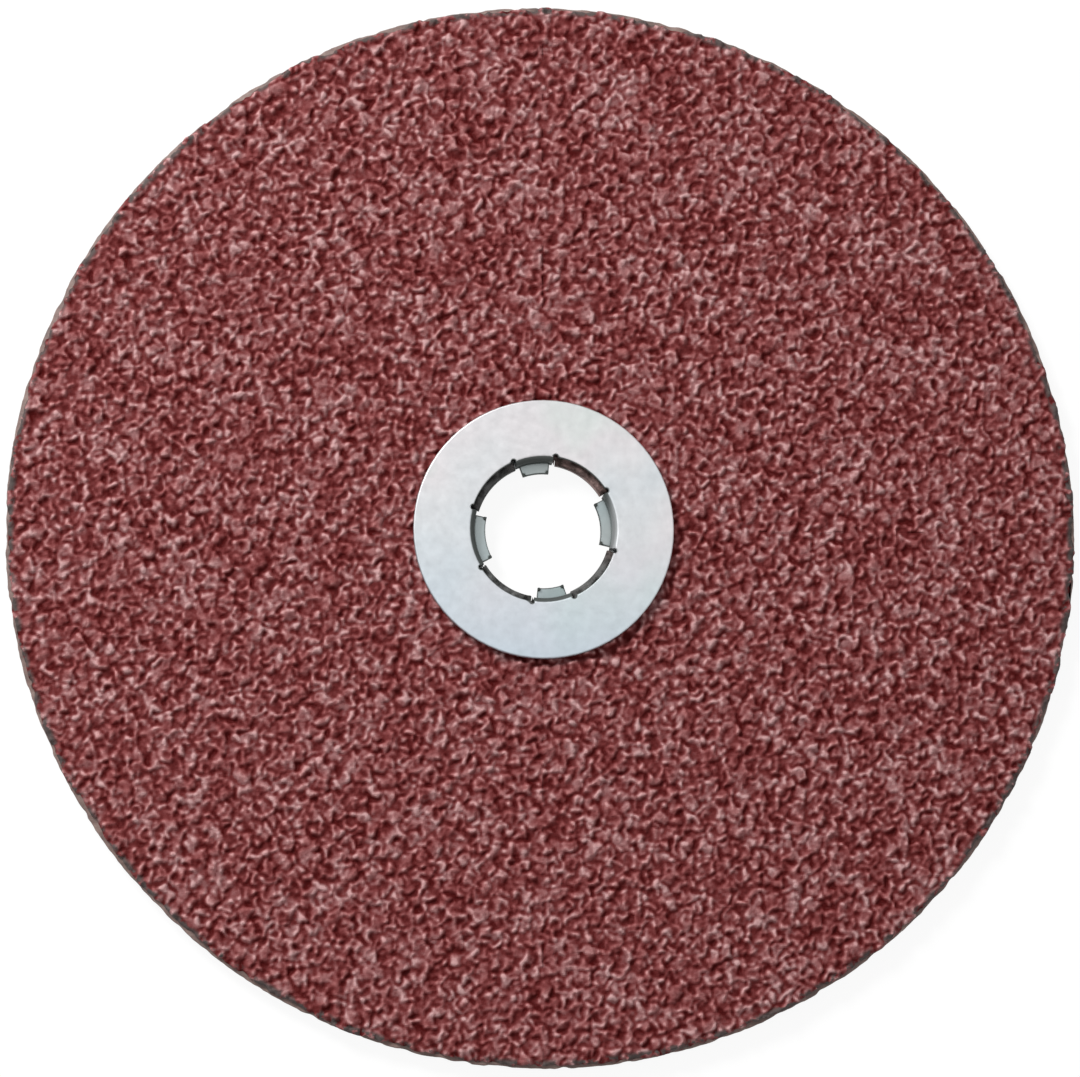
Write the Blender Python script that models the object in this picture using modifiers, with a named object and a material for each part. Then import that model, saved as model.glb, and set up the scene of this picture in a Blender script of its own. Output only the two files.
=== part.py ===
"""Fibre sanding disc for an angle grinder, 125 mm across, with a clinched steel hub.

The disc's axis is Z and its abrasive side faces +Z. It lies on the folded ends of the hub's
claws, at Z = 0. Seen from the abrasive side with +Y upwards, the two wide claws stand at the
right and the left, and the two narrow ones at the top and the bottom.
"""

import math

import bmesh
import bpy
import numpy as np
from mathutils import Vector
from mathutils.geometry import delaunay_2d_cdt

# Fibre disc and abrasive coat, in metres. The bore is cut back where the claws pass through,
# and the tabs left between them reach a little past the hub's edge.
DISC_DIAMETER = 0.125
BORE_DIAMETER = 0.0178
TAB_REACH = 0.0008
TAB_CLEARANCE = 0.0002
FIBRE_THICKNESS = 0.0008
COAT_THICKNESS = 0.0010
COAT_SETBACK = 0.0004
LAYER_GAP = 0.0001

# Relief of the coat's coarse grain: a triangular lattice of points at uneven heights
GRAIN_PITCH = 0.0020
GRAIN_RELIEF = 0.0005
GRAIN_JITTER = 0.28
GRAIN_SEED = 36

# Steel hub: a front ring whose claws pass through the bore, and a plain ring behind
FRONT_RING_DIAMETER = 0.0304
FRONT_SHEET = 0.0006
REAR_RING_DIAMETER = 0.0266
REAR_SHEET = 0.0008
REAR_SEAT_DEPTH = 0.0001
REAR_SEAT_CLEARANCE = 0.0002
PUNCHED_EDGE_RADIUS = 0.0002
CLAW_FOLD_RADIUS = 0.00015
CLAW_CLEARANCE = 0.0001
RECESS_INSET = 0.00005
CLINCH_REACH = 0.0017

# Each claw holds a bayonet lug, lanced inwards out of its wall, with an upturned ear at either
# end. A post on each side of the lug's window joins the claw to its folded end.
HUB_TURN = math.radians(7.5)
WIDE_CLAW_ANGLE = math.radians(46.0)
NARROW_CLAW_ANGLE = math.radians(30.5)
POST_ANGLE = math.radians(2.2)
LANCED_SLIT_ANGLE = math.radians(0.3)
LUG_REACH = 0.0013
LUG_DEPTH = 0.0019
EAR_ANGLE = math.radians(2.6)
EAR_THICKNESS = 0.0003
EAR_HEIGHT = 0.00035
NOTCH_RADIUS = 0.0003
NOTCH_OVERLAP = 0.25

# Facets
DISC_STEPS = 144
RING_STEPS = 72
ARC_STEPS = 3
CUTTER_STEP_ANGLE = math.radians(3.0)
NOTCH_STEPS = 16

# Cutters run past what they cut, and stop short of the axis. Corners that a cut leaves this
# close together become one.
CUT_MARGIN = 0.001
LUG_SHAVE = 0.00003
MERGE_DISTANCE = 0.000005

# Radii
disc_radius = DISC_DIAMETER / 2
bore_radius = BORE_DIAMETER / 2
coat_radius = disc_radius - COAT_SETBACK
rear_ring_radius = REAR_RING_DIAMETER / 2
seat_radius = rear_ring_radius + REAR_SEAT_CLEARANCE
claw_outer = bore_radius - CLAW_CLEARANCE - CLAW_FOLD_RADIUS
claw_inner = claw_outer - FRONT_SHEET
recess_radius = claw_outer - RECESS_INSET
tab_radius = recess_radius - TAB_REACH
lug_inner = claw_inner - LUG_REACH
ear_outer = lug_inner + EAR_THICKNESS
clinch_radius = claw_outer + CLINCH_REACH
outer_fold_radius = CLAW_FOLD_RADIUS + FRONT_SHEET
fold_centre = claw_outer + CLAW_FOLD_RADIUS

# Heights, from the folded wings up to the front face
clinch_top = FRONT_SHEET
rear_bottom = clinch_top + LAYER_GAP
rear_top = rear_bottom + REAR_SHEET
seat_top = rear_top + LAYER_GAP
fibre_bottom = seat_top - REAR_SEAT_DEPTH
fibre_top = fibre_bottom + FIBRE_THICKNESS
coat_bottom = fibre_top + LAYER_GAP
coat_top = coat_bottom + COAT_THICKNESS
flange_bottom = coat_top + LAYER_GAP
flange_top = flange_bottom + FRONT_SHEET
lug_top = flange_top - LUG_DEPTH
lug_bottom = lug_top - FRONT_SHEET
ear_top = lug_top + EAR_HEIGHT

# Claws, as (middle angle, width), anticlockwise from the right
claws = [
    (HUB_TURN + quarter * math.pi / 2, WIDE_CLAW_ANGLE if quarter % 2 == 0 else NARROW_CLAW_ANGLE)
    for quarter in range(4)
]


def clear_scene():
    for obj in list(bpy.data.objects):
        bpy.data.objects.remove(obj, do_unlink=True)


def new_collection(name):
    collection = bpy.data.collections.new(name)
    bpy.context.scene.collection.children.link(collection)
    return collection


def new_material(name, colour, metallic, roughness):
    material = bpy.data.materials.new(name)
    material.use_nodes = True
    shader = material.node_tree.nodes["Principled BSDF"]
    shader.inputs["Base Color"].default_value = (*colour, 1.0)
    shader.inputs["Metallic"].default_value = metallic
    shader.inputs["Roughness"].default_value = roughness
    return material


def vulcanised_fibre():
    return new_material("vulcanised_fibre", (0.16, 0.10, 0.08), 0.0, 0.6)


def maroon_grain():
    return new_material("maroon_grain", (0.21, 0.062, 0.060), 0.0, 0.8)


def zinc_plated_steel():
    return new_material("zinc_plated_steel", (0.76, 0.78, 0.80), 1.0, 0.35)


def arc(centre, radius, start, end):
    """Points of an arc in the (radius, height) plane, both ends included. Angles in degrees."""
    angles = np.radians(np.linspace(start, end, ARC_STEPS + 1))
    return [(centre[0] + radius * math.cos(a), centre[1] + radius * math.sin(a)) for a in angles]


def turned(name, profile, steps, material, collection):
    """A solid turned about Z from a closed (radius, height) outline that runs down its outer side."""
    points = [(radius, 0.0, height) for radius, height in profile]
    edges = [(i, (i + 1) % len(points)) for i in range(len(points))]
    mesh = bpy.data.meshes.new(name)
    mesh.from_pydata(points, edges, [])
    mesh.materials.append(material)
    obj = bpy.data.objects.new(name, mesh)
    collection.objects.link(obj)
    screw = obj.modifiers.new("Turn", "SCREW")
    screw.axis = "Z"
    screw.angle = 2 * math.pi
    screw.steps = steps
    screw.render_steps = steps
    screw.use_merge_vertices = True
    screw.merge_threshold = MERGE_DISTANCE
    screw.use_smooth_shade = True
    return obj


def sector_outline(start, sweep, inner, outer):
    """Corners of a flat sector between two radii, anticlockwise."""
    count = max(2, math.ceil(sweep / CUTTER_STEP_ANGLE)) + 1
    angles = np.linspace(start, start + sweep, count)
    far = [(outer * math.cos(a), outer * math.sin(a)) for a in angles]
    near = [(inner * math.cos(a), inner * math.sin(a)) for a in reversed(angles)]
    return far + near


def circle_outline(centre, radius):
    angles = np.linspace(0.0, 2 * math.pi, NOTCH_STEPS, endpoint=False)
    return [(centre[0] + radius * math.cos(a), centre[1] + radius * math.sin(a)) for a in angles]


def new_cutter(name, outlines, bottom, top, collection):
    """Flat outlines extruded from one height to another, as one mesh of separate blocks."""
    curve = bpy.data.curves.new(name, "CURVE")
    curve.dimensions = "2D"
    curve.fill_mode = "BOTH"
    curve.extrude = (top - bottom) / 2
    for outline in outlines:
        spline = curve.splines.new("POLY")
        spline.points.add(len(outline) - 1)
        for point, (x, y) in zip(spline.points, outline):
            point.co = (x, y, 0.0, 1.0)
        spline.use_cyclic_u = True
    guide = bpy.data.objects.new(name, curve)
    collection.objects.link(guide)
    graph = bpy.context.evaluated_depsgraph_get()
    mesh = bpy.data.meshes.new_from_object(guide.evaluated_get(graph))
    bpy.data.objects.remove(guide, do_unlink=True)
    bpy.data.curves.remove(curve)

    shape = bmesh.new()
    shape.from_mesh(mesh)
    bmesh.ops.remove_doubles(shape, verts=shape.verts, dist=1e-7)
    for vertex in shape.verts:
        vertex.co.z = top if vertex.co.z > 0.0 else bottom
    bmesh.ops.recalc_face_normals(shape, faces=shape.faces)
    shape.to_mesh(mesh)
    shape.free()

    cutter = bpy.data.objects.new(name, mesh)
    cutter.hide_render = True
    cutter.display_type = "WIRE"
    collection.objects.link(cutter)


def cut(obj, cutters):
    """All the cutters in one step, because some of them share a plane."""
    boolean = obj.modifiers.new("Cut", "BOOLEAN")
    boolean.operation = "DIFFERENCE"
    boolean.solver = "EXACT"
    boolean.operand_type = "COLLECTION"
    boolean.collection = cutters
    weld = obj.modifiers.new("Merge", "WELD")
    weld.merge_threshold = MERGE_DISTANCE


def weigh_normals(obj):
    """Smooth shading that leaves the wide flat faces flat."""
    weighted = obj.modifiers.new("Shading", "WEIGHTED_NORMAL")
    weighted.mode = "FACE_AREA"
    weighted.weight = 100


def claw_passages():
    """Where the bore is cut back for the claws, as (start, sweep)."""
    margin = TAB_CLEARANCE / tab_radius
    return [(middle - width / 2 - margin, width + 2 * margin) for middle, width in claws]


def bore_edge(angle):
    """Distance of the bore's edge from the axis, at this angle."""
    in_passage = any((angle - start) % (2 * math.pi) < sweep for start, sweep in claw_passages())
    return bore_radius if in_passage else tab_radius


def bore_outline():
    """The edge of the bore with its four tabs, anticlockwise."""
    outline = []
    passages = claw_passages()
    for (start, sweep), (next_start, _) in zip(passages, passages[1:] + passages[:1]):
        end = start + sweep
        gap = (next_start - end) % (2 * math.pi)
        for radius, first, width in ((bore_radius, start, sweep), (tab_radius, end, gap)):
            count = math.ceil(width / CUTTER_STEP_ANGLE) + 1
            for angle in np.linspace(first, first + width, count):
                outline.append((radius * math.cos(angle), radius * math.sin(angle)))
    return outline


def make_fibre_backing(collection, cutters, material):
    """A flat ring, into whose back the rear ring has pressed a shallow seat."""
    profile = [
        (disc_radius, fibre_top),
        (disc_radius, fibre_bottom),
        (seat_radius, fibre_bottom),
        (seat_radius, seat_top),
        (tab_radius, seat_top),
        (tab_radius, fibre_top),
    ]
    backing = turned("fibre_backing", profile, DISC_STEPS, material, collection)
    near = tab_radius - CUT_MARGIN
    outlines = [sector_outline(start, sweep, near, bore_radius) for start, sweep in claw_passages()]
    bottom = fibre_bottom - CUT_MARGIN
    new_cutter("claw_passages", outlines, bottom, fibre_top + CUT_MARGIN, cutters)
    cut(backing, cutters)
    weigh_normals(backing)


def grain_points(inner, outer):
    """Points of an uneven triangular lattice that fills a ring, half a pitch clear of its rims."""
    chance = np.random.default_rng(GRAIN_SEED)
    row_pitch = GRAIN_PITCH * math.sqrt(3) / 2
    rows = np.arange(-math.ceil(outer / row_pitch), math.ceil(outer / row_pitch) + 1)
    columns = np.arange(-math.ceil(outer / GRAIN_PITCH), math.ceil(outer / GRAIN_PITCH) + 1)
    column, row = np.meshgrid(columns, rows)
    points = np.stack([(column + row % 2 / 2) * GRAIN_PITCH, row * row_pitch], axis=-1)
    points = points.reshape(-1, 2)
    points += chance.uniform(-GRAIN_JITTER, GRAIN_JITTER, points.shape) * GRAIN_PITCH
    distance = np.hypot(points[:, 0], points[:, 1])
    keep = (distance > inner + GRAIN_PITCH / 2) & (distance < outer - GRAIN_PITCH / 2)
    return points[keep]


def rim_points(radius, count):
    angles = np.linspace(0.0, 2 * math.pi, count, endpoint=False)
    return radius * np.stack([np.cos(angles), np.sin(angles)], axis=-1)


def make_abrasive_coat(collection, material):
    """A ring whose upper face is the grain's rough relief, and whose back is flat."""
    chance = np.random.default_rng(GRAIN_SEED)
    outer_count = round(2 * math.pi * coat_radius / GRAIN_PITCH)
    outer = rim_points(coat_radius, outer_count)
    inner = bore_outline()
    points = np.concatenate([outer, inner, grain_points(bore_radius, coat_radius)])
    rims = [(i, (i + 1) % outer_count) for i in range(outer_count)]
    rims += [(outer_count + i, outer_count + (i + 1) % len(inner)) for i in range(len(inner))]
    flat, _, triangles, _, _, _ = delaunay_2d_cdt(
        [Vector(point) for point in points], rims, [], 0, 1e-7
    )

    shape = bmesh.new()
    upper = []
    for point in flat:
        on_rim = point.length > coat_radius - GRAIN_PITCH / 4
        drop = 1.0 if on_rim else chance.random()
        upper.append(shape.verts.new((point.x, point.y, coat_top - drop * GRAIN_RELIEF)))
    for triangle in triangles:
        middle = sum((flat[i] for i in triangle), Vector((0.0, 0.0))) / 3
        if middle.length > bore_edge(math.atan2(middle.y, middle.x)):
            shape.faces.new([upper[i] for i in triangle])

    rim_edges = [edge for edge in shape.edges if edge.is_boundary]
    walls = bmesh.ops.extrude_edge_only(shape, edges=rim_edges)["geom"]
    for vertex in walls:
        if isinstance(vertex, bmesh.types.BMVert):
            vertex.co.z = coat_bottom
    lower_edges = [edge for edge in shape.edges if edge.is_boundary]
    bmesh.ops.bridge_loops(shape, edges=lower_edges)
    bmesh.ops.recalc_face_normals(shape, faces=shape.faces)

    mesh = bpy.data.meshes.new("abrasive_coat")
    shape.to_mesh(mesh)
    shape.free()
    mesh.materials.append(material)
    collection.objects.link(bpy.data.objects.new("abrasive_coat", mesh))


def front_ring_profile():
    """Section through the flange, its fold, the claw, the lug with its ear, and the folded end."""
    flange_radius = FRONT_RING_DIAMETER / 2
    edge_centre = (flange_radius - PUNCHED_EDGE_RADIUS, flange_top - PUNCHED_EDGE_RADIUS)
    upper_fold = (fold_centre, flange_bottom - CLAW_FOLD_RADIUS)
    lower_fold = (fold_centre, clinch_top + CLAW_FOLD_RADIUS)
    return [
        *arc(edge_centre, PUNCHED_EDGE_RADIUS, 90, 0),
        (flange_radius, flange_bottom),
        *arc(upper_fold, CLAW_FOLD_RADIUS, 90, 180),
        *arc(lower_fold, CLAW_FOLD_RADIUS, 180, 270),
        (clinch_radius, clinch_top),
        (clinch_radius, 0.0),
        *arc(lower_fold, outer_fold_radius, 270, 180),
        (claw_inner, lug_bottom),
        (lug_inner, lug_bottom),
        (lug_inner, ear_top),
        (ear_outer, ear_top),
        (ear_outer, lug_top),
        (claw_inner, lug_top),
        *arc(upper_fold, outer_fold_radius, 180, 90),
    ]


def recess_spans():
    """The gaps between neighbouring claws, as (start, sweep)."""
    spans = []
    for (middle, width), (next_middle, next_width) in zip(claws, claws[1:] + claws[:1]):
        start = middle + width / 2
        end = next_middle - next_width / 2
        spans.append((start, (end - start) % (2 * math.pi)))
    return spans


def lug_spans():
    return [(middle - width / 2 + POST_ANGLE, width - 2 * POST_ANGLE) for middle, width in claws]


def post_spans():
    """Each post, with the slit beside its lug and as much again of the recess."""
    reach = POST_ANGLE + LANCED_SLIT_ANGLE
    spans = []
    for middle, width in claws:
        spans.append((middle - width / 2 - reach, 2 * reach))
        spans.append((middle + width / 2 - reach, 2 * reach))
    return spans


def notch_outlines():
    """Round reliefs in the flange at the two roots of every claw."""
    outlines = []
    offset = (1 - NOTCH_OVERLAP) * NOTCH_RADIUS / recess_radius
    for middle, width in claws:
        for side in (-1, 1):
            angle = middle + side * (width / 2 + offset)
            centre = (recess_radius * math.cos(angle), recess_radius * math.sin(angle))
            outlines.append(circle_outline(centre, NOTCH_RADIUS))
    return outlines


def make_front_ring(collection, cutters, material):
    ring = turned("front_ring", front_ring_profile(), RING_STEPS, material, collection)
    near = lug_inner - CUT_MARGIN
    far = clinch_radius + CUT_MARGIN
    below = -CUT_MARGIN
    above = flange_top + CUT_MARGIN

    def sectors(spans, outer):
        return [sector_outline(start, sweep, near, outer) for start, sweep in spans]

    between_ears = [(start + EAR_ANGLE, sweep - 2 * EAR_ANGLE) for start, sweep in lug_spans()]
    beside_lugs = sectors(post_spans(), claw_inner + LUG_SHAVE)
    window_bottom = clinch_top + CLAW_FOLD_RADIUS
    for name, outlines, bottom, top in (
        ("recess_edges", sectors(recess_spans(), recess_radius), below, above),
        ("recess_walls", sectors(recess_spans(), far), below, flange_bottom),
        ("lug_windows", sectors(lug_spans(), far), window_bottom, lug_bottom),
        ("beside_lugs", beside_lugs, lug_bottom - LUG_SHAVE, ear_top + LUG_SHAVE),
        ("between_ears", sectors(between_ears, ear_outer + LUG_SHAVE), lug_top, above),
        ("claw_notches", notch_outlines(), flange_bottom - CLAW_FOLD_RADIUS, above),
    ):
        new_cutter(name, outlines, bottom, top, cutters)
    cut(ring, cutters)
    weigh_normals(ring)


def make_rear_ring(collection, material):
    edge_centre = (rear_ring_radius - PUNCHED_EDGE_RADIUS, rear_bottom + PUNCHED_EDGE_RADIUS)
    profile = [
        (rear_ring_radius, rear_top),
        *arc(edge_centre, PUNCHED_EDGE_RADIUS, 0, -90),
        (bore_radius, rear_bottom),
        (bore_radius, rear_top),
    ]
    weigh_normals(turned("rear_ring", profile, RING_STEPS, material, collection))


def main():
    clear_scene()
    parts = new_collection("fibre_sanding_disc")
    steel = zinc_plated_steel()
    make_fibre_backing(parts, new_collection("fibre_cutters"), vulcanised_fibre())
    make_abrasive_coat(parts, maroon_grain())
    make_front_ring(parts, new_collection("hub_cutters"), steel)
    make_rear_ring(parts, steel)


main()
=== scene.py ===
"""Looks of the fibre sanding disc: coarse maroon grain, grey-brown fibre and a zinc-plated hub.

The abrasive coat is rebuilt as a fine relief in four quarters, the fibre as a finely turned
ring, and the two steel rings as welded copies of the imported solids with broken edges.
"""

import math

import bmesh
import bpy
import numpy as np
from mathutils import Matrix, Vector


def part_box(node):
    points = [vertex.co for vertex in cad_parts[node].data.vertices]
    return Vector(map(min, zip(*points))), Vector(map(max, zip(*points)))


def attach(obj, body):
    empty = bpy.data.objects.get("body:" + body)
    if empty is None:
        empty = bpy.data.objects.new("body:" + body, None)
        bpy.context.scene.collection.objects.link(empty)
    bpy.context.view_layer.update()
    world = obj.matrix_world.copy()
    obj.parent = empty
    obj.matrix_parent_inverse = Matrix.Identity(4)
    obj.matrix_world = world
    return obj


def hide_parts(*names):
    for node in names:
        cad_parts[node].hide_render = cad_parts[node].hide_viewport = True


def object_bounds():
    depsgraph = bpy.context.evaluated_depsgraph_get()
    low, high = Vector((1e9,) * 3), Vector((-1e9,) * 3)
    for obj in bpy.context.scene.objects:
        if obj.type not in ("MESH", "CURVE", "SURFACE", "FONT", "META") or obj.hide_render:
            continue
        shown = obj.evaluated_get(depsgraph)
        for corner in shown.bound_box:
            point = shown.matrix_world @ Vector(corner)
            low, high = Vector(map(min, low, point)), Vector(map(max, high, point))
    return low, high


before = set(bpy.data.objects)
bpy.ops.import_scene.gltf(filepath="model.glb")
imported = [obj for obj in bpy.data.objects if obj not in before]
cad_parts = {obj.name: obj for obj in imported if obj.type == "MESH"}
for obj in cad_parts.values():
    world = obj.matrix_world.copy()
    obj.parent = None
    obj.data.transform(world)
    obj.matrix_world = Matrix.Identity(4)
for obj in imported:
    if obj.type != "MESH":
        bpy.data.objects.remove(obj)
cad_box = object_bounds()


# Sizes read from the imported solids, in metres
fibre_low, fibre_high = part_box("fibre_backing")
coat_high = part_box("abrasive_coat")[1]
ring_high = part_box("front_ring")[1]
rear_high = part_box("rear_ring")[1]
disc_radius = fibre_high.x
coat_radius = coat_high.x
ring_radius = ring_high.x

# Up to this radius the coat and the fibre show in the hole, and their edge is the bore's
BORE_REACH = 0.0095
BORE_FADE = 0.0004

# Raster on which the grain's relief is worked out
RASTER_PITCH = 0.0001
RASTER_MARGIN = 0.002
SEED = 125

# Crystals of the grain, pushed into curved rows by the resin's flow
GRAIN_PITCH = 0.00098
GRAIN_JITTER = 0.42
GRAIN_RADII = (0.00020, 0.00046)
BIG_GRAIN_SHARE = 0.10
BIG_GRAIN_SCALE = 1.6
GRAIN_SIDES = (5, 8)  # from five up to seven
SIDE_JITTER = 0.3
SIDE_INSETS = (0.5, 1.0)
SIDE_SLOPES = (1.0, 2.6)
TOP_TILT = 0.50
GRAIN_LEVELS = (0.0, 0.00022)
LEVEL_PER_SIZE = 0.3
STAMP_REACH = 0.0016
FLOW_REACH = 0.00018
FLOW_WAVELENGTH = 0.0022

# Swells and knobs of the resin over the crystals, as heights and wavelengths
SWELLS = ((0.00008, 0.0027), (0.00007, 0.0017), (0.00004, 0.0008))
RESIN_SOFTNESS = 0.000105
CREST_WIDTH = 0.00029
RIPPLE_SPREAD = 0.4
RELIEF_PERCENTILES = (0.5, 99.7)

# Paler and darker patches of the grain, as weights and wavelengths
PATCHES = ((0.35, 0.014), (0.5, 0.006), (0.8, 0.003))
PAINT_SCALE = 0.2

# Relief of the coat
MESH_PITCH = 0.00018
RELIEF_DEPTH = 0.00085
PEAK_BELOW_RING = 0.00006
RIM_ROUNDING = 0.00045
RIM_DROP = 0.00030
CHIP_PITCH = 0.0011
CHIP_DEPTH = 0.00045
BORE_CHIP_DEPTH = CHIP_DEPTH / 4
FINE_CHIP_LEAST = -0.2
COAT_OVERLAP = 0.00028
OVERLAP_BIAS = 0.4
COAT_CREASE = math.radians(75.0)

# Fibre
FIBRE_STEPS = 1440
FIBRE_EDGE = 0.00012
FIBRE_SHOULDER = 0.3 * FIBRE_EDGE
FIBRE_RAGGED = 0.00008
RAG_PITCH = CHIP_PITCH / 2
FIBRE_NICKS = 0.00020
NICK_PITCH = 1.3 * CHIP_PITCH
SEAT_CLEARANCE = 0.0002
SEAT_GAP = 0.0001
FIBRE_CREASE = math.radians(50.0)

# Steel rings
WELD = 0.000002
FLAT_WITHIN = math.radians(1.0)
STEEL_EDGE = 0.00002
STEEL_CREASE = math.radians(50.0)
SHADING_WEIGHT = 100

# Looks of the grain: a ramp's stops are positions and sRGB colours from 0 to 255
# From the valleys to the crests: painted shade in the valleys, and on the crests painted highlight
# over paler grain where the resin is thin
GRAIN_STOPS = (
    (0.12, (79, 11, 11)),
    (0.34, (106, 41, 41)),
    (0.54, (132, 67, 67)),
    (0.74, (163, 98, 97)),
    (0.98, (214, 156, 155)),
)
SPECK_LIFT = (-0.18, 0.18)
PATCH_LIFT = (-0.20, 0.21)
CHALK = (206, 182, 184)
CHALK_FILTER = (240, 255, 255)
CHALK_SHARE = 0.10
CHALK_LIFTS = (0.35, 0.65)
CHALK_BY_PATCH = (-0.4, 1.2)
SCUFFED = (88, 78, 76)
SCUFF_CUTS = (0.44, 0.54)
RIM_SCUFF_DEPTHS = (0.0009, 0.00018)
GRAIN_ROUGHNESS = (0.42, 0.66)
GRAIN_SPECULAR = 0.10
GRAIN_BUMP = 0.00016

# Painted shade on the edge of the bore, in the shade of the ring: charcoal grey or, where x + y is
# high and more light reaches it, brown
BORE_SHADE_STOPS = ((0.35, (50, 50, 49)), (0.65, (112, 112, 111)))
BROWN_STOPS = ((0.35, (66, 55, 50)), (0.65, (150, 124, 120)))
BROWN_SIDE = (0.002, 0.009)

# Looks of the fibre
FIBRE_STOPS = ((0.3, (84, 72, 68)), (0.5, (132, 110, 104)), (0.7, (158, 138, 130)))
STRAND_STOPS = ((0.35, (210, 200, 196)), (0.65, (255, 255, 255)))
STRAND_SCALES = (380.0, 2600.0, 900.0)
STRAND_SHARE = 0.7
FIBRE_ROUGHNESS = (0.5, 0.7)
FIBRE_BUMP = 0.00003

# Looks of the zinc, which is bluer towards -Y, with a fine speckle
ZINC_STOPS = (
    (0.32, (195, 202, 206)),
    (0.46, (205, 206, 208)),
    (0.56, (208, 205, 207)),
    (0.68, (199, 206, 203)),
)
ZINC_LOWER = (178, 192, 203)
LOWER_SHARE = 0.75
SPECKLE_STOPS = ((0.3, (236, 236, 236)), (0.7, (255, 255, 255)))
SPECKLE_SHARE = 0.5
ZINC_METALLIC = (1.0, 0.35)
ZINC_ROUGHNESS = (0.30, 0.52)
ZINC_BUMP = 0.00002
ZINC_BUMP_STRENGTH = 0.6

# Claws in the hole, below the ring's upper face, where they are painted darker as shade
HOLE_FADE = 0.0006
CLAW_DEPTHS = (0.0007, 0.0012)
CLAW_SHADE_FILTER = (204, 212, 210)

# Painted shade on the steel's edges and walls, given as cosines, and on the ears above the lugs.
# Its shares are those outside and inside the hole, and it is lighter at high x, where the key
# lights the folds.
PAINTED_SHADE_STEEL = (58, 63, 60)
SHADE_SHARES = (0.2, 0.95)
SHADE_ROUGHER = 0.3
EDGE_SHADE_WIDTH = 0.00032
EDGE_COSINES = (0.995, 0.92)
WALL_COSINES = (0.995, 0.93)
LIT_SIDE = (0.0072, 0.0082)
LIT_SHARE = 0.65
LUG_DEPTH = 0.00186
EAR_REACH = 0.0075
EAR_FADE = 0.0001

# Camera: the disc fills the frame, seen from a little below and to the left of its axis
LENS = 170.0
SENSOR = 36.0
FRAME_WIDTH = 0.1257
CAMERA_TILT = math.radians(8.5)
CAMERA_SIDE = math.radians(-22.0)
AIM = (-0.00042, -0.00108, 0.0035)
CLIP_START = 0.01

# Light and floor; the key's direction is an azimuth and an elevation
KEY_DIRECTION = (math.radians(132.0), math.radians(42.0))
KEY_DISTANCE = 0.6
KEY_SIZE = 0.20
KEY_POWER = 3.3
WORLD_LIGHT = 0.40
FLOOR_SIZE = 3.0
FLOOR_COLOUR = (0.82, 0.82, 0.82, 1.0)
FLOOR_GLOW = 1.06
FLOOR_GLOW_SHARE = 0.86

chance = np.random.default_rng(SEED)
raster_half = disc_radius + RASTER_MARGIN
raster_count = 2 * round(raster_half / RASTER_PITCH) + 1
raster_axis = (np.arange(raster_count) - raster_count // 2) * RASTER_PITCH


# Grain relief


def blurred(field, sigma):
    """The raster smoothed by a Gaussian of sigma metres."""
    rows = np.fft.fftfreq(field.shape[0], RASTER_PITCH)[:, None]
    columns = np.fft.rfftfreq(field.shape[1], RASTER_PITCH)[None, :]
    fall = np.exp(-2 * (math.pi * sigma) ** 2 * (rows**2 + columns**2))
    return np.fft.irfft2(np.fft.rfft2(field) * fall, s=field.shape)


def ripples(wavelength):
    """Noise of unit deviation whose lumps lie about one wavelength apart."""
    rows = np.fft.fftfreq(raster_count, RASTER_PITCH)[:, None]
    columns = np.fft.rfftfreq(raster_count, RASTER_PITCH)[None, :]
    waves = np.maximum(np.hypot(rows, columns) * wavelength, 1e-6)  # 0 has no logarithm
    weight = np.exp(-((np.log(waves) / RIPPLE_SPREAD) ** 2))
    noise = np.fft.rfft2(chance.standard_normal((raster_count, raster_count)))
    field = np.fft.irfft2(noise * weight, s=(raster_count, raster_count))
    return field / field.std()


def grain_centres():
    """An uneven triangular lattice over the whole disc, as (x, y) rows."""
    row_pitch = GRAIN_PITCH * math.sqrt(3) / 2
    reach = disc_radius + GRAIN_PITCH
    rows = np.arange(-math.ceil(reach / row_pitch), math.ceil(reach / row_pitch) + 1)
    columns = np.arange(-math.ceil(reach / GRAIN_PITCH), math.ceil(reach / GRAIN_PITCH) + 1)
    column, row = np.meshgrid(columns, rows)
    centres = np.stack([(column + row % 2 / 2) * GRAIN_PITCH, row * row_pitch], -1).reshape(-1, 2)
    centres += chance.uniform(-GRAIN_JITTER, GRAIN_JITTER, centres.shape) * GRAIN_PITCH
    distance = np.hypot(centres[:, 0], centres[:, 1])
    return centres[(distance < reach) & (distance > bore_edge[1].min() - GRAIN_PITCH)]


def stamp_grain(heights, flow, centre):
    """One crystal, a truncated pyramid with uneven sides and a tilted top, bent by the flow."""
    size = chance.uniform(*GRAIN_RADII)
    if chance.random() < BIG_GRAIN_SHARE:
        size *= BIG_GRAIN_SCALE
    sides = chance.integers(*GRAIN_SIDES)
    turn = chance.uniform(0, 2 * math.pi)
    corners = np.arange(sides) + chance.uniform(-SIDE_JITTER, SIDE_JITTER, sides)
    bearings = turn + corners * 2 * math.pi / sides
    insets = size * chance.uniform(*SIDE_INSETS, sides)
    slopes = chance.uniform(*SIDE_SLOPES, sides)
    tilt = chance.uniform(-TOP_TILT, TOP_TILT, 2)
    level = chance.uniform(*GRAIN_LEVELS) + LEVEL_PER_SIZE * size

    start = (centre - STAMP_REACH - raster_axis[0]) / RASTER_PITCH
    first = np.maximum(np.round(start), 0).astype(int)
    last = first + round(2 * STAMP_REACH / RASTER_PITCH)
    window = (slice(first[1], last[1]), slice(first[0], last[0]))
    x = raster_axis[window[1]][None, :] + flow[0][window] - centre[0]
    y = raster_axis[window[0]][:, None] + flow[1][window] - centre[1]
    crystal = level + tilt[0] * x + tilt[1] * y
    for bearing, inset, slope in zip(bearings, insets, slopes):
        outward = x * math.cos(bearing) + y * math.sin(bearing)
        crystal = np.minimum(crystal, level + slope * (inset - outward))
    heights[window] = np.maximum(heights[window], crystal)


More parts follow.
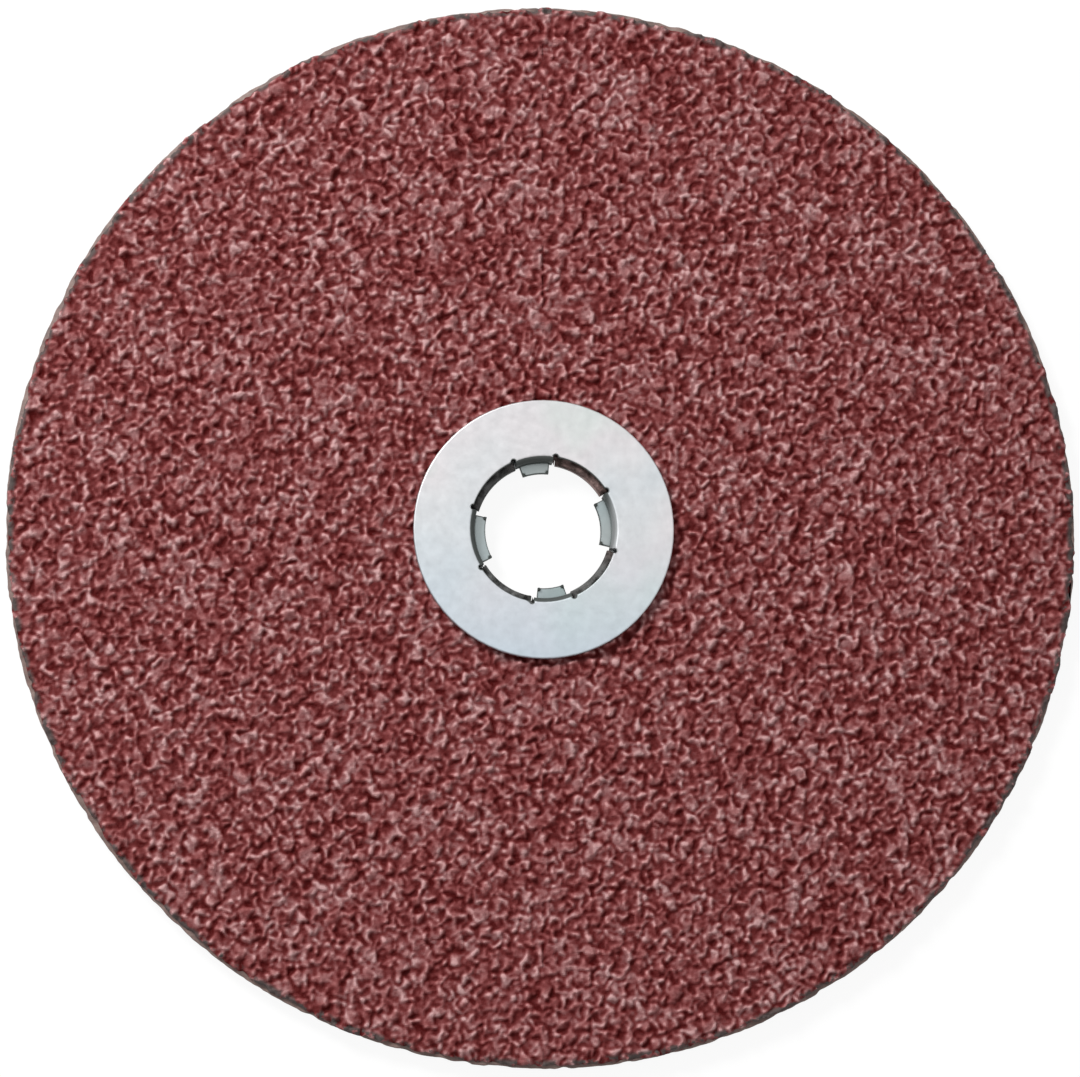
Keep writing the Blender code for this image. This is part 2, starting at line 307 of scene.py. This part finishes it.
def grain_rasters():
    """Relief from 0 (deepest) to 1 (highest), how sharply the surface crests, and its patches."""
    heights = np.full((raster_count, raster_count), -GRAIN_LEVELS[1])
    flow = [FLOW_REACH * ripples(FLOW_WAVELENGTH) for _ in range(2)]
    for centre in grain_centres():
        stamp_grain(heights, flow, centre)
    for height, wavelength in SWELLS:
        heights += height * ripples(wavelength)
    soft = blurred(heights, RESIN_SOFTNESS)
    low, high = np.percentile(soft, RELIEF_PERCENTILES)
    relief = np.clip((soft - low) / (high - low), 0, 1)
    crest = soft - blurred(soft, CREST_WIDTH)
    crest /= crest.std()
    patches = sum(weight * ripples(wavelength) for weight, wavelength in PATCHES)
    return relief, crest, patches


def sampled(field, x, y):
    """The raster's values at these points, by linear interpolation."""
    highest = raster_count - 1.001  # a next row and column must exist
    column = np.clip((x - raster_axis[0]) / RASTER_PITCH, 0, highest)
    row = np.clip((y - raster_axis[0]) / RASTER_PITCH, 0, highest)
    i, j = row.astype(int), column.astype(int)
    v, u = row - i, column - j
    upper = field[i, j] * (1 - u) + field[i, j + 1] * u
    lower = field[i + 1, j] * (1 - u) + field[i + 1, j + 1] * u
    return upper * (1 - v) + lower * v


def ring_noise(pitch, radius):
    """A function of the angle: noise from -1 to 1, its lumps one pitch apart at the radius."""
    count = max(8, round(2 * math.pi * radius / pitch))
    values = chance.uniform(-1, 1, count)

    def value(angle):
        place = (angle / (2 * math.pi) % 1) * count
        i = np.floor(place).astype(int)
        blend = (place - i) ** 2 * (3 - 2 * (place - i))
        return values[i % count] * (1 - blend) + values[(i + 1) % count] * blend

    return value


def read_bore_edge():
    """The notched edge of the bore in the packed fibre, as angles and radii."""
    points = np.array([vertex.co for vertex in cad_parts["fibre_backing"].data.vertices])
    radii = np.hypot(points[:, 0], points[:, 1])
    near = (radii < BORE_REACH) & (points[:, 2] > (fibre_low.z + fibre_high.z) / 2)
    angles = np.arctan2(points[near, 1], points[near, 0])
    order = np.argsort(angles)
    return angles[order], radii[near][order]


def bore_radius(angle):
    """Radius of the bore's edge in the packed fibre."""
    return np.interp(angle, *bore_edge, period=2 * math.pi)


bore_edge = read_bore_edge()
broad_chips = ring_noise(4 * CHIP_PITCH, coat_radius)
fine_chips = ring_noise(CHIP_PITCH / 2, coat_radius)
bore_chips = ring_noise(CHIP_PITCH, BORE_REACH)
coat_waves = ring_noise(2 * CHIP_PITCH, coat_radius)


def outer_rim(angle):
    """Radius of the coat's chipped outer edge."""
    broad = np.maximum(broad_chips(angle), 0)
    chips = (broad + np.maximum(fine_chips(angle), FINE_CHIP_LEAST)) / 2
    overlap = COAT_OVERLAP * np.maximum(OVERLAP_BIAS + coat_waves(angle), 0)
    return coat_radius + overlap - CHIP_DEPTH * chips


def bore_rim(angle):
    """Radius of the coat's inner edge, just outside the fibre's."""
    return bore_radius(angle) + BORE_CHIP_DEPTH * (1 + bore_chips(angle))


def coat_height(relief, x, y):
    """Height of the coat's surface: it is rounded off towards both rims."""
    radius = np.hypot(x, y)
    angle = np.arctan2(y, x)
    from_edge = np.minimum(outer_rim(angle) - radius, radius - bore_rim(angle))
    fall = 1 - np.clip(from_edge / RIM_ROUNDING, 0, 1)
    top = min(coat_high.z, ring_high.z) - PEAK_BELOW_RING
    return top - RELIEF_DEPTH * (1 - sampled(relief, x, y)) - RIM_DROP * fall**2


def coat_lattice():
    """The lattice's points, snapped to the two rims, and the kept cells' corners and middles."""
    half = math.ceil(disc_radius / MESH_PITCH) + 1
    line = np.arange(-half, half + 1) * MESH_PITCH
    x, y = np.meshgrid(line, line)
    middle = line[:-1] + MESH_PITCH / 2
    cell_x, cell_y = np.meshgrid(middle, middle)
    cell_radius = np.hypot(cell_x, cell_y)
    cell_angle = np.arctan2(cell_y, cell_x)
    kept = (cell_radius < outer_rim(cell_angle)) & (cell_radius > bore_rim(cell_angle))

    touched = np.zeros(x.shape, int)
    for rows in (slice(None, -1), slice(1, None)):
        for columns in (slice(None, -1), slice(1, None)):
            touched[rows, columns] += kept
    on_rim = (touched > 0) & (touched < 4)
    radius = np.hypot(x, y)
    angle = np.arctan2(y, x)
    wanted = np.where(radius > coat_radius / 2, outer_rim(angle), bore_rim(angle))
    near = np.abs(wanted - radius) < MESH_PITCH
    pull = np.where(on_rim & near, wanted / np.maximum(radius, MESH_PITCH), 1)
    index = np.arange(x.size).reshape(x.shape)
    corners = np.stack([index[:-1, :-1], index[:-1, 1:], index[1:, 1:], index[1:, :-1]], -1)
    return (x * pull).ravel(), (y * pull).ravel(), corners[kept], cell_x[kept], cell_y[kept]


def closed_down_to(mesh, bottom):
    """Walls from the open edge of an upper surface down to a flat back."""
    shape = bmesh.new()
    shape.from_mesh(mesh)
    lowered = {}
    for edge in [edge for edge in shape.edges if edge.is_boundary]:
        loop = edge.link_loops[0]
        first, second = loop.link_loop_next.vert, loop.vert
        for vertex in (first, second):
            if vertex not in lowered:
                lowered[vertex] = shape.verts.new((vertex.co.x, vertex.co.y, bottom))
        shape.faces.new((first, second, lowered[second], lowered[first]))
    bmesh.ops.holes_fill(shape, edges=[edge for edge in shape.edges if edge.is_boundary], sides=0)
    bmesh.ops.recalc_face_normals(shape, faces=shape.faces)
    shape.to_mesh(mesh)
    shape.free()


def paint_grain(mesh, crest, patches):
    """Stores crest, patch and closeness to the bore as one colour at each vertex."""
    points = np.empty(len(mesh.vertices) * 3, np.float32)
    mesh.vertices.foreach_get("co", points)
    x, y, _ = points.reshape(-1, 3).T
    colours = np.ones((len(x), 4), np.float32)
    colours[:, 0] = np.clip(0.5 + PAINT_SCALE * sampled(crest, x, y), 0, 1)
    colours[:, 1] = np.clip(0.5 + PAINT_SCALE * sampled(patches, x, y), 0, 1)
    colours[:, 2] = np.clip((BORE_REACH - np.hypot(x, y)) / BORE_FADE, 0, 1)
    attribute = mesh.color_attributes.new("grain", "FLOAT_COLOR", "POINT")
    attribute.data.foreach_set("color", colours.ravel())


def build_coat(material):
    """The coat as a fine relief, in quarters that each stay light."""
    relief, crest, patches = grain_rasters()
    x, y, corners, cell_x, cell_y = coat_lattice()
    quadrant = (cell_x < 0) + 2 * (cell_y < 0)
    for number in range(4):
        cells = corners[quadrant == number]
        used, local = np.unique(cells, return_inverse=True)
        px, py = x[used], y[used]
        pz = coat_height(relief, px, py)
        name = f"coat_quarter_{number + 1}"
        mesh = bpy.data.meshes.new(name)
        mesh.from_pydata(np.stack([px, py, pz], -1).tolist(), [], local.reshape(-1, 4).tolist())
        closed_down_to(mesh, fibre_high.z)
        mesh.shade_smooth()
        mesh.set_sharp_from_angle(angle=COAT_CREASE)
        paint_grain(mesh, crest, patches)
        mesh.materials.append(material)
        piece = bpy.data.objects.new(name, mesh)
        bpy.context.scene.collection.objects.link(piece)
        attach(piece, "root")
        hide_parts("abrasive_coat")


# Fibre and steel


def build_fibre(material):
    """The fibre as a finely turned ring with pressed edges and a slightly ragged rim."""
    rag = ring_noise(RAG_PITCH, disc_radius)
    nicks = ring_noise(NICK_PITCH, disc_radius)
    low, high = fibre_low.z, fibre_high.z
    seat_radius = rear_high.x + SEAT_CLEARANCE
    seat_top = rear_high.z + SEAT_GAP
    section = [
        (0.0, seat_top),
        (0.0, high),
        (coat_radius / 2, high),
        (disc_radius - FIBRE_EDGE, high),
        (disc_radius - FIBRE_SHOULDER, high - FIBRE_SHOULDER),
        (disc_radius, high - FIBRE_EDGE),
        (disc_radius, low + FIBRE_EDGE),
        (disc_radius - FIBRE_SHOULDER, low + FIBRE_SHOULDER),
        (disc_radius - FIBRE_EDGE, low),
        (coat_radius / 2, low),
        (seat_radius, low),
        (seat_radius, seat_top),
    ]
    angles = np.linspace(0, 2 * math.pi, FIBRE_STEPS, endpoint=False)
    cut = FIBRE_RAGGED * (1 + rag(angles)) / 2 + FIBRE_NICKS * np.maximum(nicks(angles), 0)
    points = []
    for radius, height in section:
        reach = np.maximum(radius - cut * (radius > coat_radius), bore_radius(angles))
        points += zip(reach * np.cos(angles), reach * np.sin(angles), [height] * FIBRE_STEPS)
    faces = []
    for row in range(len(section)):
        for column in range(FIBRE_STEPS):
            here, beside = row * FIBRE_STEPS, (row + 1) % len(section) * FIBRE_STEPS
            ahead = (column + 1) % FIBRE_STEPS
            faces.append((here + column, beside + column, beside + ahead, here + ahead))
    mesh = bpy.data.meshes.new("fibre")
    mesh.from_pydata(points, [], faces)
    shape = bmesh.new()
    shape.from_mesh(mesh)
    bmesh.ops.recalc_face_normals(shape, faces=shape.faces)
    shape.to_mesh(mesh)
    shape.free()
    mesh.shade_smooth()
    mesh.set_sharp_from_angle(angle=FIBRE_CREASE)
    mesh.materials.append(material)
    piece = bpy.data.objects.new("fibre", mesh)
    bpy.context.scene.collection.objects.link(piece)
    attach(piece, "root")
    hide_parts("fibre_backing")


def build_steel(node, name, material):
    """A copy of a packed ring, welded and with its sharp edges broken."""
    mesh = bpy.data.meshes.new(name)
    shape = bmesh.new()
    shape.from_mesh(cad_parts[node].data)
    bmesh.ops.remove_doubles(shape, verts=shape.verts, dist=WELD)
    bmesh.ops.dissolve_limit(
        shape, angle_limit=FLAT_WITHIN, verts=shape.verts, edges=shape.edges
    )
    shape.to_mesh(mesh)
    shape.free()
    mesh.shade_smooth()
    mesh.materials.clear()
    mesh.materials.append(material)
    piece = bpy.data.objects.new(name, mesh)
    bpy.context.scene.collection.objects.link(piece)
    bevel = piece.modifiers.new("Edges", "BEVEL")
    bevel.width = STEEL_EDGE
    bevel.segments = 2
    bevel.limit_method = "ANGLE"
    bevel.angle_limit = STEEL_CREASE
    bevel.harden_normals = False
    weighted = piece.modifiers.new("Shading", "WEIGHTED_NORMAL")
    weighted.weight = SHADING_WEIGHT
    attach(piece, "root")
    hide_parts(node)


# Materials


def srgb(red, green, blue):
    """A colour given as 0 to 255 in sRGB, as linear RGBA."""
    channels = [value / 255 for value in (red, green, blue)]
    linear = [c / 12.92 if c <= 0.04045 else ((c + 0.055) / 1.055) ** 2.4 for c in channels]
    return (*linear, 1.0)


class Nodes:
    """Short forms for building a material's node tree."""

    # The colour mix node's factor, first and second input, and its result
    MIX_INPUTS = (0, 6, 7)
    MIX_RESULT = 2

    def __init__(self, name):
        self.material = bpy.data.materials.new(name)
        self.material.use_nodes = True
        self.tree = self.material.node_tree
        self.shader = self.tree.nodes["Principled BSDF"]

    def add(self, kind, **settings):
        node = self.tree.nodes.new(kind)
        for setting, value in settings.items():
            setattr(node, setting, value)
        return node

    def link(self, output, socket):
        self.tree.links.new(output, socket)

    def feed(self, value, socket):
        """Sets the socket to a plain value, or links an output to it."""
        if isinstance(value, (int, float, tuple)):
            socket.default_value = value
        else:
            self.link(value, socket)

    def place(self):
        return self.add("ShaderNodeTexCoord").outputs["Object"]

    def along(self, axis, vector=None):
        """The x, y or z of a vector, or else of the place on the object."""
        split = self.add("ShaderNodeSeparateXYZ")
        self.link(vector or self.place(), split.inputs["Vector"])
        return split.outputs[axis]

    def from_axis(self):
        """Distance from the disc's axis."""
        flat = self.add("ShaderNodeVectorMath", operation="MULTIPLY")
        flat.inputs[1].default_value = (1.0, 1.0, 0.0)
        self.link(self.place(), flat.inputs[0])
        across = self.add("ShaderNodeVectorMath", operation="LENGTH")
        self.link(flat.outputs["Vector"], across.inputs[0])
        return across.outputs["Value"]

    def noise(self, scale, detail=4.0, roughness=0.55, vector=None):
        node = self.add("ShaderNodeTexNoise")
        node.inputs["Scale"].default_value = scale
        node.inputs["Detail"].default_value = detail
        node.inputs["Roughness"].default_value = roughness
        self.link(vector or self.place(), node.inputs["Vector"])
        return node.outputs["Fac"]

    def within(self, value, start, end):
        """Rises smoothly from 0 to 1 as the value goes from start to end."""
        node = self.add("ShaderNodeMapRange", interpolation_type="SMOOTHSTEP")
        node.inputs["From Min"].default_value = start
        node.inputs["From Max"].default_value = end
        self.link(value, node.inputs["Value"])
        return node.outputs["Result"]

    def between(self, value, low, high):
        """Turns a factor of 0 to 1 into a value from low to high."""
        node = self.add("ShaderNodeMapRange")
        node.inputs["To Min"].default_value = low
        node.inputs["To Max"].default_value = high
        self.link(value, node.inputs["Value"])
        return node.outputs["Result"]

    def math(self, operation, first, second=0.0):
        node = self.add("ShaderNodeMath", operation=operation)
        self.feed(first, node.inputs[0])
        self.feed(second, node.inputs[1])
        return node.outputs["Value"]

    def mix(self, factor, first, second, blend_type="MIX"):
        node = self.add("ShaderNodeMix", data_type="RGBA", blend_type=blend_type)
        for index, value in zip(self.MIX_INPUTS, (factor, first, second)):
            self.feed(value, node.inputs[index])
        return node.outputs[self.MIX_RESULT]

    def ramp(self, factor, stops):
        """A colour ramp whose stops are positions and sRGB colours."""
        node = self.add("ShaderNodeValToRGB")
        elements = node.color_ramp.elements
        while len(elements) < len(stops):
            elements.new(0.5)
        for element, (position, colour) in zip(elements, stops):
            element.position = position
            element.color = srgb(*colour)
        self.link(factor, node.inputs["Fac"])
        return node.outputs["Color"]

    def bump(self, height, distance, strength=1.0):
        node = self.add("ShaderNodeBump")
        node.inputs["Distance"].default_value = distance
        node.inputs["Strength"].default_value = strength
        self.link(height, node.inputs["Height"])
        self.link(node.outputs["Normal"], self.shader.inputs["Normal"])

    def painted_bore_shade(self):
        """Painted shade on the bore's edge: charcoal, and a lighter brown between +X and +Y, where
        more light reaches it.
        """
        speckle = self.noise(700.0, detail=4.0, roughness=0.65)
        side = self.math("ADD", self.along("X"), self.along("Y"))
        brown = self.within(side, *BROWN_SIDE)
        return self.mix(brown, self.ramp(speckle, BORE_SHADE_STOPS), self.ramp(speckle, BROWN_STOPS))


def grain_material():
    """Maroon resin over grain: darker in the valleys as painted shade, and pink on the crests,
    partly painted highlight and partly paler grain where the resin is thin, and a little chalky
    there.

    The edge of the bore is painted in shade, and the outer rim is scuffed.
    """
    nodes = Nodes("maroon_grain")
    grain = nodes.add("ShaderNodeAttribute", attribute_name="grain")
    channels = nodes.add("ShaderNodeSeparateColor")
    nodes.link(grain.outputs["Color"], channels.inputs["Color"])
    crest, patch, near_bore = channels.outputs
    speck = nodes.noise(2400.0, detail=3.0, roughness=0.7)
    lifted = nodes.math("ADD", crest, nodes.between(speck, *SPECK_LIFT))
    lifted = nodes.math("ADD", lifted, nodes.between(patch, *PATCH_LIFT))
    # Painted shade in the valleys and painted highlights on the crests, partly paler grain where
    # the resin is thin
    colour = nodes.ramp(lifted, GRAIN_STOPS)

    chalky = nodes.mix(1.0, colour, srgb(*CHALK_FILTER), "MULTIPLY")
    chalky = nodes.mix(CHALK_SHARE, chalky, srgb(*CHALK))
    raised = nodes.within(lifted, *CHALK_LIFTS)
    chalked = nodes.math("MULTIPLY", nodes.between(patch, *CHALK_BY_PATCH), raised)
    colour = nodes.mix(chalked, colour, chalky)
    # Painted shade on the edge of the bore
    colour = nodes.mix(near_bore, colour, nodes.painted_bore_shade())

    scuff_reach = (coat_radius - depth for depth in RIM_SCUFF_DEPTHS)
    at_rim = nodes.within(nodes.from_axis(), *scuff_reach)
    scuffs = nodes.within(nodes.noise(650.0, detail=3.0, roughness=0.6), *SCUFF_CUTS)
    colour = nodes.mix(nodes.math("MULTIPLY", at_rim, scuffs), colour, srgb(*SCUFFED))
    nodes.link(colour, nodes.shader.inputs["Base Color"])
    nodes.link(nodes.between(speck, *GRAIN_ROUGHNESS), nodes.shader.inputs["Roughness"])
    nodes.shader.inputs["Specular IOR Level"].default_value = GRAIN_SPECULAR
    nodes.bump(nodes.noise(3000.0, detail=3.0, roughness=0.6), GRAIN_BUMP)
    return nodes.material


def fibre_material():
    """Vulcanised fibre: dense grey-brown pressed paper with a faint mottle and fine strands."""
    nodes = Nodes("vulcanised_fibre")
    mottle = nodes.noise(420.0, detail=6.0, roughness=0.65)
    stretch = nodes.add("ShaderNodeMapping")
    stretch.inputs["Scale"].default_value = STRAND_SCALES
    nodes.link(nodes.place(), stretch.inputs["Vector"])
    strands = nodes.noise(1.0, detail=5.0, roughness=0.5, vector=stretch.outputs["Vector"])
    streaks = nodes.ramp(strands, STRAND_STOPS)
    colour = nodes.mix(STRAND_SHARE, nodes.ramp(mottle, FIBRE_STOPS), streaks, "MULTIPLY")
    # Painted shade on the edge of the bore
    near_bore = nodes.within(nodes.from_axis(), BORE_REACH, BORE_REACH - BORE_FADE)
    colour = nodes.mix(near_bore, colour, nodes.painted_bore_shade())
    nodes.link(colour, nodes.shader.inputs["Base Color"])
    nodes.link(nodes.between(mottle, *FIBRE_ROUGHNESS), nodes.shader.inputs["Roughness"])
    nodes.bump(strands, FIBRE_BUMP)
    return nodes.material


def zinc_material():
    """Satin zinc plating with a faint bluish and pinkish passivation at random, and bluer and
    darker towards -Y.

    Down the claws it is painted darker, as shade in the hole. Painted shade also darkens it where
    the punch
    sheared or folded it: on the hole's walls and edges, less on the ring's own edges, and on the
    upturned ears of the lugs, where it is also less metallic and rougher. The painted shade is
    lighter at high x, where the key lights the folds.
    """
    nodes = Nodes("zinc_plated_steel")
    tint = nodes.ramp(nodes.noise(55.0, detail=2.0), ZINC_STOPS)
    lower = nodes.math("MULTIPLY", nodes.along("Y"), -1.0 / ring_radius)
    lower = nodes.between(lower, 0.0, 1.0)
    tint = nodes.mix(lower, tint, nodes.mix(LOWER_SHARE, tint, srgb(*ZINC_LOWER)))
    mottle = nodes.noise(900.0, detail=5.0, roughness=0.7)
    tint = nodes.mix(SPECKLE_SHARE, tint, nodes.ramp(mottle, SPECKLE_STOPS), "MULTIPLY")

    height = nodes.along("Z")
    radius = nodes.from_axis()
    in_hole = nodes.within(radius, BORE_REACH + HOLE_FADE, BORE_REACH - HOLE_FADE)
    claw_heights = (ring_high.z - depth for depth in CLAW_DEPTHS)
    down_claw = nodes.math("MULTIPLY", nodes.within(height, *claw_heights), in_hole)
    # Painted shade down the claws in the hole
    tint = nodes.mix(down_claw, tint, nodes.mix(1.0, tint, srgb(*CLAW_SHADE_FILTER), "MULTIPLY"))

    # Painted shade along edges, where the rounded normal turns from the true one
    rounded = nodes.add("ShaderNodeBevel", samples=8)
    rounded.inputs["Radius"].default_value = EDGE_SHADE_WIDTH
    agree = nodes.add("ShaderNodeVectorMath", operation="DOT_PRODUCT")
    nodes.link(rounded.outputs["Normal"], agree.inputs[0])
    nodes.link(nodes.add("ShaderNodeNewGeometry").outputs["Normal"], agree.inputs[1])
    at_edge = nodes.within(agree.outputs["Value"], *EDGE_COSINES)
    # Painted shade on walls and folds, where the normal turns sideways
    facing = nodes.along("Z", nodes.add("ShaderNodeTexCoord").outputs["Normal"])
    on_wall = nodes.within(nodes.math("ABSOLUTE", facing), *WALL_COSINES)
    painted_shade = nodes.math("MAXIMUM", at_edge, on_wall)
    painted_shade = nodes.math("MULTIPLY", painted_shade, nodes.between(in_hole, *SHADE_SHARES))
    # Less painted shade at high x, where the key lights the folds
    lit_side = nodes.within(nodes.along("X"), *LIT_SIDE)
    painted_shade = nodes.math("MULTIPLY", painted_shade, nodes.between(lit_side, 1.0, LIT_SHARE))
    # Painted shade on the ears above the lugs
    lug_height = ring_high.z - LUG_DEPTH
    above_lug = nodes.within(height, lug_height, lug_height + EAR_FADE)
    past_wall = nodes.within(radius, EAR_REACH, EAR_REACH - EAR_FADE)
    painted_shade = nodes.math("MAXIMUM", painted_shade, nodes.math("MULTIPLY", above_lug, past_wall))
    # The painted shade darkens the steel and makes it less metallic, so it shows fewer
    # reflections, and rougher
    nodes.link(nodes.mix(painted_shade, tint, srgb(*PAINTED_SHADE_STEEL)), nodes.shader.inputs["Base Color"])
    nodes.link(nodes.between(painted_shade, *ZINC_METALLIC), nodes.shader.inputs["Metallic"])
    rough = nodes.between(mottle, *ZINC_ROUGHNESS)
    rough = nodes.math("ADD", rough, nodes.between(painted_shade, 0.0, SHADE_ROUGHER))
    nodes.link(rough, nodes.shader.inputs["Roughness"])
    nodes.bump(mottle, ZINC_BUMP, ZINC_BUMP_STRENGTH)
    return nodes.material


# Stage


def seen_directly(tree):
    """1 for rays from the camera and for those reflected or let through, 0 for the rest."""
    path = tree.nodes.new("ShaderNodeLightPath")
    direct = path.outputs["Is Camera Ray"]
    for other in ("Is Glossy Ray", "Is Transmission Ray"):
        either = tree.nodes.new("ShaderNodeMath")
        either.operation = "MAXIMUM"
        tree.links.new(direct, either.inputs[0])
        tree.links.new(path.outputs[other], either.inputs[1])
        direct = either.outputs["Value"]
    return direct


def floor_material():
    """White floor that keeps a faint shadow."""
    nodes = Nodes("floor")
    nodes.shader.inputs["Base Color"].default_value = FLOOR_COLOUR
    nodes.shader.inputs["Roughness"].default_value = 1.0
    nodes.shader.inputs["Specular IOR Level"].default_value = 0.0
    glow = nodes.add("ShaderNodeEmission")
    glow.inputs["Strength"].default_value = FLOOR_GLOW
    glowing = nodes.math("MULTIPLY", seen_directly(nodes.tree), FLOOR_GLOW_SHARE)
    mixed = nodes.add("ShaderNodeMixShader")
    nodes.link(glowing, mixed.inputs[0])
    nodes.link(nodes.shader.outputs[0], mixed.inputs[1])
    nodes.link(glow.outputs[0], mixed.inputs[2])
    nodes.link(mixed.outputs[0], nodes.tree.nodes["Material Output"].inputs["Surface"])
    return nodes.material


def build_floor():
    """A white plane at the height of the part's underside."""
    bpy.ops.mesh.primitive_plane_add(size=FLOOR_SIZE, location=(0.0, 0.0, cad_box[0][2]))
    floor = bpy.context.object
    floor.name = "floor"
    floor.data.materials.append(floor_material())


def light_world():
    """A white world that is seen brighter than it lights."""
    world = bpy.data.worlds.new("studio")
    bpy.context.scene.world = world
    world.use_nodes = True
    tree = world.node_tree
    background = tree.nodes["Background"]
    background.inputs["Color"].default_value = (1.0, 1.0, 1.0, 1.0)
    strength = tree.nodes.new("ShaderNodeMapRange")
    strength.inputs["To Min"].default_value = WORLD_LIGHT
    strength.inputs["To Max"].default_value = 1.0
    tree.links.new(seen_directly(tree), strength.inputs["Value"])
    tree.links.new(strength.outputs["Result"], background.inputs["Strength"])


def direction(azimuth, elevation):
    """A unit vector at these angles from +X and from the disc's plane."""
    return Vector(
        (
            math.cos(elevation) * math.cos(azimuth),
            math.cos(elevation) * math.sin(azimuth),
            math.sin(elevation),
        )
    )


def light_key():
    """A soft lamp over the upper left of the picture."""
    lamp = bpy.data.lights.new("key", "AREA")
    lamp.shape = "DISK"
    lamp.size = KEY_SIZE
    lamp.energy = KEY_POWER
    key = bpy.data.objects.new("key", lamp)
    away = direction(*KEY_DIRECTION)
    key.location = away * KEY_DISTANCE
    key.rotation_euler = away.to_track_quat("Z", "Y").to_euler()
    bpy.context.scene.collection.objects.link(key)


def place_camera():
    """Looks down on the disc with +Y upwards in the picture."""
    camera = bpy.data.objects.new("camera", bpy.data.cameras.new("camera"))
    camera.data.lens = LENS
    camera.data.sensor_width = SENSOR
    camera.data.clip_start = CLIP_START
    back = direction(-math.pi / 2 + CAMERA_SIDE, math.pi / 2 - CAMERA_TILT)
    right = Vector((0.0, 1.0, 0.0)).cross(back).normalized()
    up = back.cross(right)
    turn = Matrix((right, up, back)).transposed().to_4x4()
    distance = LENS / SENSOR * FRAME_WIDTH
    camera.matrix_world = Matrix.Translation(Vector(AIM) + back * distance) @ turn
    bpy.context.scene.collection.objects.link(camera)
    bpy.context.scene.camera = camera


def main():
    bpy.context.scene.view_settings.view_transform = "Standard"
    place_camera()
    light_world()
    light_key()
    build_floor()
    build_coat(grain_material())
    build_fibre(fibre_material())
    zinc = zinc_material()
    build_steel("front_ring", "hub_front", zinc)
    build_steel("rear_ring", "hub_rear", zinc)


main()
